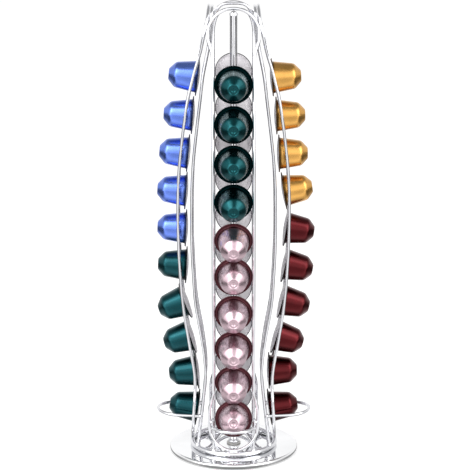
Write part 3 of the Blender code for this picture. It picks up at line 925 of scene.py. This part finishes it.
@dataclass
class Column:
    """One side of the tower: outer loop, inner rail, tray and ten capsules."""

    side: Side
    rim_gap: float
    stations: tuple[tuple[float, float], ...]
    lacquers: tuple[tuple[Lacquer, int], ...]
    wire: float = 0.003
    tray_wire: float = 0.0034
    half_width: float = 0.0197
    arch_half_width: float = 0.0247
    arch_spring: float = 0.424
    arch_apex: float = 0.450
    mouth_bottom: float = 0.402
    exit_half_width: float = 0.0239
    exit_top: float = 0.075
    exit_full: float = 0.053
    bend_start: float = 0.0385
    rail_spring: float = 0.409
    rail_apex: float = 0.449
    squareness: float = 3.5
    tray_half_width: float = 0.0203
    tray_tip: float = 0.0758
    tray_root: float = 0.0337
    tray_root_height: float = 0.0415
    tray_slope: float = math.radians(3.1)
    lowest_radius: float = 0.0364
    lowest_tilt: float = 8.0
    pull_travel: float = 0.008
    draw_clearance: float = 0.00054
    rim_diameter: float = 0.037
    rim_thickness: float = 0.0013
    ring_top: float = 0.0114
    corner_height: float = 0.431
    side_steps: int = 12
    end_steps: int = 48
    outer: Track = field(default_factory=lambda: Track((
        (0.450, 0.0238), (0.438, 0.0253), (0.431, 0.0262), (0.424, 0.0282), (0.407, 0.0318),
        (0.384, 0.0386), (0.356, 0.0449), (0.325, 0.0493), (0.295, 0.0526), (0.266, 0.0541),
        (0.224, 0.0540), (0.188, 0.0524), (0.155, 0.0496), (0.119, 0.0441), (0.088, 0.0390),
        (0.072, 0.0383), (0.056, 0.0390), (0.038, 0.0401), (0.013, 0.0412),
    )))
    inner: Track = field(default_factory=lambda: Track((
        (0.449, 0.0203), (0.441, 0.0212), (0.425, 0.0226), (0.409, 0.0244), (0.384, 0.0292),
        (0.356, 0.0326), (0.323, 0.0365), (0.295, 0.0393), (0.266, 0.0406), (0.224, 0.0409),
        (0.188, 0.0395), (0.155, 0.0371), (0.119, 0.0310), (0.086, 0.0277), (0.061, 0.0297),
        (0.041, 0.0319), (0.011, 0.0359),
    )))

    def leg(self, top: float, bottom: float, steps: int = 90) -> list[float]:
        """Heights down a leg, closer together near its ends."""
        middle = (top + bottom) / 2.0
        half = (top - bottom) / 2.0
        return [middle + half * math.cos(math.pi * step / steps) for step in range(steps + 1)]

    def outer_half_width(self, height: float) -> float:
        """Half the distance between the legs of the outer loop at a height."""
        mouth = smooth_step((height - self.mouth_bottom) / (self.arch_spring - self.mouth_bottom))
        way_out = smooth_step((self.exit_top - height) / (self.exit_top - self.exit_full))
        wide = (self.arch_half_width - self.half_width) * mouth
        return self.half_width + wide + (self.exit_half_width - self.half_width) * way_out

    def outer_path(self) -> list[Vector]:
        """Points of the closed outer loop."""
        heights = self.leg(self.arch_spring, self.bend_start)
        bottom = self.ring_top + self.wire / 2.0
        points = [Vector((self.outer_half_width(z), -self.outer.radius(z), z)) for z in heights]
        for step in range(1, 40):
            angle = math.pi * step / 40.0
            z = self.bend_start - (self.bend_start - bottom) * math.sin(angle)
            points.append(Vector((self.exit_half_width * math.cos(angle), -self.outer.radius(z), z)))
        points += [Vector((-self.outer_half_width(z), -self.outer.radius(z), z)) for z in reversed(heights)]
        for step in range(1, 48):
            angle = math.pi * step / 48.0
            z = self.arch_spring + (self.arch_apex - self.arch_spring) * math.sin(angle)
            points.append(Vector((-self.arch_half_width * math.cos(angle), -self.outer.radius(z), z)))
        return points

    def rail_path(self) -> list[Vector]:
        """Points of the inner rail, from foot to foot over its square arch."""
        heights = self.leg(self.rail_spring, self.ring_top)
        power = 2.0 / self.squareness
        points = [Vector((self.half_width, -self.inner.radius(z), z)) for z in reversed(heights)]
        for step in range(1, 56):
            angle = math.pi * step / 56.0
            across = math.copysign(abs(math.cos(angle)) ** power, math.cos(angle))
            z = self.rail_spring + (self.rail_apex - self.rail_spring) * math.sin(angle) ** power
            points.append(Vector((self.half_width * across, -self.inner.radius(z), z)))
        points += [Vector((-self.half_width, -self.inner.radius(z), z)) for z in heights]
        return points

    def tray_height(self, radius: float) -> float:
        """Height of the tray's wire at a distance from the tower's axis."""
        return self.tray_root_height + (radius - self.tray_root) * math.tan(self.tray_slope)

    def tray_path(self) -> list[Vector]:
        """Points of the tray: two straight sides and a round end."""
        half = self.tray_half_width
        centre = self.tray_tip - half
        straight = centre - self.tray_root
        flat = [(half, self.tray_root + straight * step / self.side_steps) for step in range(self.side_steps)]
        for step in range(self.end_steps + 1):
            angle = math.pi * step / self.end_steps
            flat.append((half * math.cos(angle), centre + half * math.sin(angle)))
        flat += [(-across, radius) for across, radius in reversed(flat[:self.side_steps])]
        return [Vector((across, -radius, self.tray_height(radius))) for across, radius in flat]

    def outer_beads(self) -> list[bpy.types.Object]:
        """Welds of the outer loop: to its neighbour at the corner and to the ring."""
        corner = self.corner_height
        share = (corner - self.arch_spring) / (self.arch_apex - self.arch_spring)
        across = self.arch_half_width * math.cos(math.asin(share))
        middle = (across + self.outer.radius(corner)) / 2.0
        front = -self.outer.radius(self.ring_top)
        return [
            Bench.bead(Vector((middle, -middle, corner)), *CORNER_WELD, Vector((-0.12, 0.12, 1.0))),
            Bench.bead(Vector((0.0, front, self.ring_top)), *RING_WELD, Vector((1.0, 0.0, 0.0))),
        ]

    def rail_beads(self) -> list[bpy.types.Object]:
        """Welds of the inner rail's feet to the ring."""
        foot = -self.inner.radius(self.ring_top)
        places = [Vector((turn * self.half_width, foot, self.ring_top)) for turn in (1, -1)]
        return [Bench.bead(place, *FOOT_WELD, Vector((0.0, 0.0, 1.0))) for place in places]

    def tray_beads(self) -> list[bpy.types.Object]:
        """Welds of the tray's two ends to the inner rail and of its sides to the outer loop."""
        root = -(self.tray_root - 0.0006)
        leg = -self.outer.radius(self.tray_root_height)
        between = (self.tray_half_width + self.exit_half_width) / 2.0
        beads = []
        for turn in (1, -1):
            place = Vector((turn * self.tray_half_width, root, self.tray_root_height))
            beads.append(Bench.bead(place, *ROOT_WELD, Vector((0.0, 1.0, 0.0))))
            side = Vector((turn * between, leg, self.tray_height(-leg)))
            beads.append(Bench.bead(side, *SIDE_WELD, Vector((0.0, 0.0, 1.0))))
        return beads

    def reach(self, tilt: float) -> float:
        """How far a tilted capsule's rim reaches above its middle."""
        angle = abs(math.radians(tilt))
        return self.rim_diameter / 2.0 * math.cos(angle) + self.rim_thickness / 2.0 * math.sin(angle)

    def places(self) -> list[Place]:
        """Places of the capsules, from the top down."""
        touch = (self.rim_diameter + self.tray_wire) / 2.0 + 0.0003
        lowest = self.tray_height(self.lowest_radius) + math.sqrt(touch**2 - self.tray_half_width**2)
        stack = [Place(self.lowest_radius, lowest, self.lowest_tilt)]
        lift = self.pull_travel * math.sin(self.tray_slope) + self.draw_clearance
        support = lowest + self.reach(self.lowest_tilt) + lift
        for radius, tilt in reversed(self.stations):
            height = support + self.rim_gap + self.reach(tilt)
            stack.append(Place(radius, height, tilt))
            support = height + self.reach(tilt)
        return list(reversed(stack))

    def wire_piece(self, kind: str, path: list[Vector], diameter: float, cyclic: bool,
                   beads: list[bpy.types.Object]) -> None:
        """Makes one wire with its welds, and stands it in for its CAD node.

        Args:
            kind: End of the CAD node's name.
            path: Points of the wire.
            diameter: Diameter of the wire.
            cyclic: True for a closed loop.
            beads: Welds that belong to it.
        """
        node = "%s_%s" % (self.side.label, kind)
        wire = Bench.swept(node + "_wire", path, diameter, cyclic)
        item = Bench.placed(Bench.joined(node + "_wire", [wire] + beads), self.side.turn)
        finish_piece(item, CHROME, "tower", node)

    def build(self, cup: bpy.types.Object, lid: bpy.types.Object) -> None:
        """Makes the column.

        Args:
            cup: Model of a capsule's cup, nose up at the origin.
            lid: Model of its lid.
        """
        self.wire_piece("outer_loop", self.outer_path(), self.wire, True, self.outer_beads())
        self.wire_piece("inner_rail", self.rail_path(), self.wire, False, self.rail_beads())
        self.wire_piece("tray", self.tray_path(), self.tray_wire, False, self.tray_beads())
        lacquers = [lacquer.value for lacquer, count in self.lacquers for _ in range(count)]
        for number, (place, lacquer) in enumerate(zip(self.places(), lacquers), start=1):
            node = "%s_capsule_%02d" % (self.side.label, number)
            body = "%s_lowest_capsule" % self.side.label if number == 10 else "tower"
            matrix = place.matrix(self.side)
            finish_piece(Bench.copied(cup, node + "_cup", matrix), lacquer, body, node)
            finish_piece(Bench.copied(lid, node + "_lid", matrix), FOIL, body)


def columns() -> list[Column]:
    """The four columns of the tower, each with its capsules from the top down."""
    front = (
        (0.0374, -0.5), (0.0445, -2.0), (0.0492, 1.5), (0.0485, -8.5), (0.0519, -15.0), (0.0490, 0.0),
        (0.0476, -6.5), (0.0421, -10.5), (0.0365, -13.0),
    )
    right = (
        (0.0374, 3.5), (0.0416, 1.5), (0.0444, 1.0), (0.0495, 9.0), (0.0514, -8.5), (0.0505, -12.0),
        (0.0476, -14.0), (0.0421, -17.0), (0.0354, 1.0),
    )
    back = (
        (0.0372, -5.0), (0.0444, -8.0), (0.0491, 5.0), (0.0517, -6.0), (0.0519, -10.0), (0.0506, 4.0),
        (0.0476, -9.0), (0.0421, -12.0), (0.0364, -4.0),
    )
    left = (
        (0.0349, 6.5), (0.0399, 3.5), (0.0444, 5.0), (0.0467, 4.0), (0.0469, 2.5), (0.0467, 2.5),
        (0.0476, -21.0), (0.0422, -17.5), (0.0366, -6.0),
    )
    return [
        Column(Side.FRONT, 0.0003, front, ((Lacquer.GREEN, 4), (Lacquer.ROSE, 6))),
        Column(Side.RIGHT, 0.0005, right, ((Lacquer.GOLD, 4), (Lacquer.RED, 6))),
        Column(Side.BACK, 0.0003, back, ((Lacquer.SILVER, 4), (Lacquer.VIOLET, 6))),
        Column(Side.LEFT, 0.0006, left, ((Lacquer.BLUE, 5), (Lacquer.TEAL, 5))),
    ]


@dataclass
class Studio:
    """Pale floor, soft lamps, white surroundings with soft boxes for the metal, and the camera."""

    camera_place: tuple[float, float, float] = (0.0014, -1.932, 0.708)
    camera_pitch: float = 14.1
    lens: float = 154.8
    sensor: float = 36.0
    fill: float = 0.72
    side_azimuth: tuple[tuple[float, float], tuple[float, float]] = ((32.0, 46.0), (60.0, 84.0))
    card_azimuth: tuple[tuple[float, float], tuple[float, float]] = ((24.0, 36.0), (48.0, 66.0))
    floor_radius: float = 7.0
    floor_glow: float = 0.42
    card_level: float = 1.0
    card_sides: float = 0.85
    card_shade: float = 0.16
    card_near: float = 0.85
    card_behind: float = 0.55
    card_under: float = 0.3
    wall_level: float = 1.10
    ceiling_level: float = 0.42
    side_boxes: float = 1.8
    front_box: float = 0.9
    rear_shade: float = 0.18

    def build(self) -> None:
        """Makes the studio."""
        self.build_floor()
        self.build_surroundings()
        self.build_lamps()
        self.build_camera()
        bpy.context.scene.view_settings.view_transform = "Standard"
        LOG.info("studio ready")

    def build_floor(self) -> None:
        """Makes the floor, white to the camera and to the metal, with the object's shadow on it."""
        bpy.ops.object.select_all(action="DESELECT")
        bpy.ops.mesh.primitive_circle_add(vertices=96, radius=self.floor_radius, fill_type="NGON")
        floor = bpy.context.object
        floor.name = "studio_floor"
        material = bpy.data.materials.new("studio_floor")
        graph = Graph(material)
        place = graph.add("TexCoord").outputs["Object"]
        axes = graph.add("SeparateXYZ", {0: place})
        azimuth = self.azimuth(graph, axes)
        across = graph.math("MULTIPLY", axes.outputs[0], axes.outputs[0])
        away = graph.math("MULTIPLY", axes.outputs[1], axes.outputs[1])
        radius = graph.math("SQRT", graph.math("ADD", across, away))
        far = graph.ramp(radius, 0.05, 0.11)
        sides = self.window(graph, azimuth, *self.card_azimuth)
        near = graph.ramp(radius, 0.22, 0.60, self.card_near, 0.0)
        ahead = graph.math("MAXIMUM", graph.ramp(azimuth, 42.0, 60.0, 1.0, self.card_shade), near)
        behind = graph.ramp(azimuth, 98.0, 122.0, 0.0, self.card_behind)
        lit = graph.math("ADD", graph.math("MULTIPLY", sides, self.card_sides), self.card_level)
        spread = graph.math("MULTIPLY", lit, ahead)
        spread = graph.math("ADD", spread, behind)
        under = graph.ramp(radius, 0.04, 0.09, self.card_under, 0.0)
        glossy = graph.math("ADD", graph.math("MULTIPLY", spread, far), under)
        path = graph.add("LightPath")
        cloud = graph.noise(place, 2.0)
        tone = graph.tint(cloud, (0.80, 0.80, 0.80), (0.82, 0.82, 0.82))
        paper = graph.add("BsdfDiffuse", {"Color": tone})
        seen = graph.math("MULTIPLY", path.outputs["Is Camera Ray"], self.floor_glow)
        glow = graph.add("Emission", {"Strength": seen})
        both = graph.add("AddShader", {0: paper.outputs[0], 1: glow.outputs[0]})
        card = graph.add("Emission", {"Strength": glossy})
        gloss = path.outputs["Is Glossy Ray"]
        shown = graph.add("MixShader", {0: gloss, 1: both.outputs[0], 2: card.outputs[0]})
        graph.add("OutputMaterial", {"Surface": shown.outputs[0]})
        floor.data.materials.append(material)

    def build_surroundings(self) -> None:
        """Makes the world: white to the camera, even for matt things, soft boxes for metal."""
        world = bpy.data.worlds.new("studio_surroundings")
        bpy.context.scene.world = world
        graph = Graph(world)
        axes = graph.add("SeparateXYZ", {0: graph.add("TexCoord").outputs["Generated"]})
        azimuth = self.azimuth(graph, axes)
        height = graph.math("MULTIPLY", graph.math("ARCSINE", axes.outputs[2]), 180.0 / math.pi)
        level = graph.ramp(height, 24.0, 50.0, self.wall_level, self.ceiling_level)
        sides = self.window(graph, azimuth, *self.side_azimuth)
        sides = graph.math("MULTIPLY", sides, self.window(graph, height, (-30.0, -16.0), (40.0, 62.0)))
        front = self.window(graph, azimuth, (-2.0, -1.0), (40.0, 66.0))
        front = graph.math("MULTIPLY", front, self.window(graph, height, (-4.0, 12.0), (38.0, 62.0)))
        sides = graph.math("MULTIPLY", sides, self.side_boxes)
        bright = graph.math("ADD", sides, graph.math("MULTIPLY", front, self.front_box))
        rear = self.window(graph, azimuth, (84.0, 96.0), (104.0, 124.0))
        rear = graph.math("MULTIPLY", rear, graph.ramp(height, 22.0, 40.0, 1.0, 0.0))
        low = graph.ramp(height, 0.0, 8.0, self.rear_shade, 1.0)
        wall = graph.math("SUBTRACT", 1.0, graph.math("MULTIPLY", rear, graph.math("SUBTRACT", 1.0, low)))
        metal = graph.math("MULTIPLY", graph.math("ADD", level, bright), wall)
        path = graph.add("LightPath")
        gloss = path.outputs["Is Glossy Ray"]
        matt = graph.math("MULTIPLY", graph.math("SUBTRACT", 1.0, gloss), self.fill)
        strength = graph.math("ADD", graph.math("MULTIPLY", gloss, metal), matt)
        camera = path.outputs["Is Camera Ray"]
        rest = graph.math("MULTIPLY", graph.math("SUBTRACT", 1.0, camera), strength)
        background = graph.add("Background", {"Strength": graph.math("ADD", rest, camera)})
        background.inputs["Color"].default_value = (1.0, 1.0, 1.0, 1.0)
        graph.add("OutputWorld", {"Surface": background.outputs[0]})

    @staticmethod
    def azimuth(graph: Graph, axes: bpy.types.Node) -> bpy.types.NodeSocket:
        """Angle away from the camera's side, from 0 to 180 degrees.

        Args:
            graph: Tree that gets the nodes.
            axes: Node that gives a direction's X and Y.

        Returns:
            The angle's socket.
        """
        around = graph.math("ARCTAN2", axes.outputs[0], graph.math("MULTIPLY", axes.outputs[1], -1.0))
        return graph.math("MULTIPLY", graph.math("ABSOLUTE", around), 180.0 / math.pi)

    @staticmethod
    def window(graph: Graph, value: bpy.types.NodeSocket, rise: tuple[float, float],
               fall: tuple[float, float]) -> bpy.types.NodeSocket:
        """Smooth window that is 1 between its rise and its fall.

        Args:
            graph: Tree that gets the nodes.
            value: Socket that is read.
            rise: Values between which it rises.
            fall: Values between which it falls.

        Returns:
            The result's socket.
        """
        return graph.math("MULTIPLY", graph.ramp(value, *rise), graph.ramp(value, *fall, 1.0, 0.0))

    def build_lamps(self) -> None:
        """Makes two large soft lamps that model the matt surfaces and the floor's shadow."""
        for name, place, energy, size in (
            ("key_lamp", (-1.3, -1.5, 2.1), 24.0, 1.5),
            ("fill_lamp", (1.6, -0.9, 1.7), 14.0, 1.5),
        ):
            data = bpy.data.lights.new(name, "AREA")
            data.energy = energy
            data.size = size
            lamp = bpy.data.objects.new(name, data)
            lamp.location = place
            aim = Vector((0.0, 0.0, 0.2)) - lamp.location
            lamp.rotation_euler = aim.to_track_quat("-Z", "Y").to_euler()
            bpy.context.scene.collection.objects.link(lamp)

    def build_camera(self) -> None:
        """Makes the camera at the photograph's place."""
        data = bpy.data.cameras.new("camera")
        data.lens = self.lens
        data.sensor_width = self.sensor
        data.clip_end = 50.0
        camera = bpy.data.objects.new("camera", data)
        camera.location = self.camera_place
        camera.rotation_euler = (math.radians(90.0 - self.camera_pitch), 0.0, 0.0)
        bpy.context.scene.collection.objects.link(camera)
        bpy.context.scene.camera = camera


def main() -> None:
    """Builds every sub-assembly and the studio round them."""
    logging.basicConfig(level=logging.INFO, format="%(name)s %(message)s")
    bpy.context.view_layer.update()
    Base().build()
    Pole().build()
    Footing().build()
    cup, lid = CapsuleShape().models()
    for column in columns():
        column.build(cup, lid)
    for model in (cup, lid):
        bpy.data.objects.remove(model, do_unlink=True)
    Studio().build()


if __name__ == "__main__":
    main()
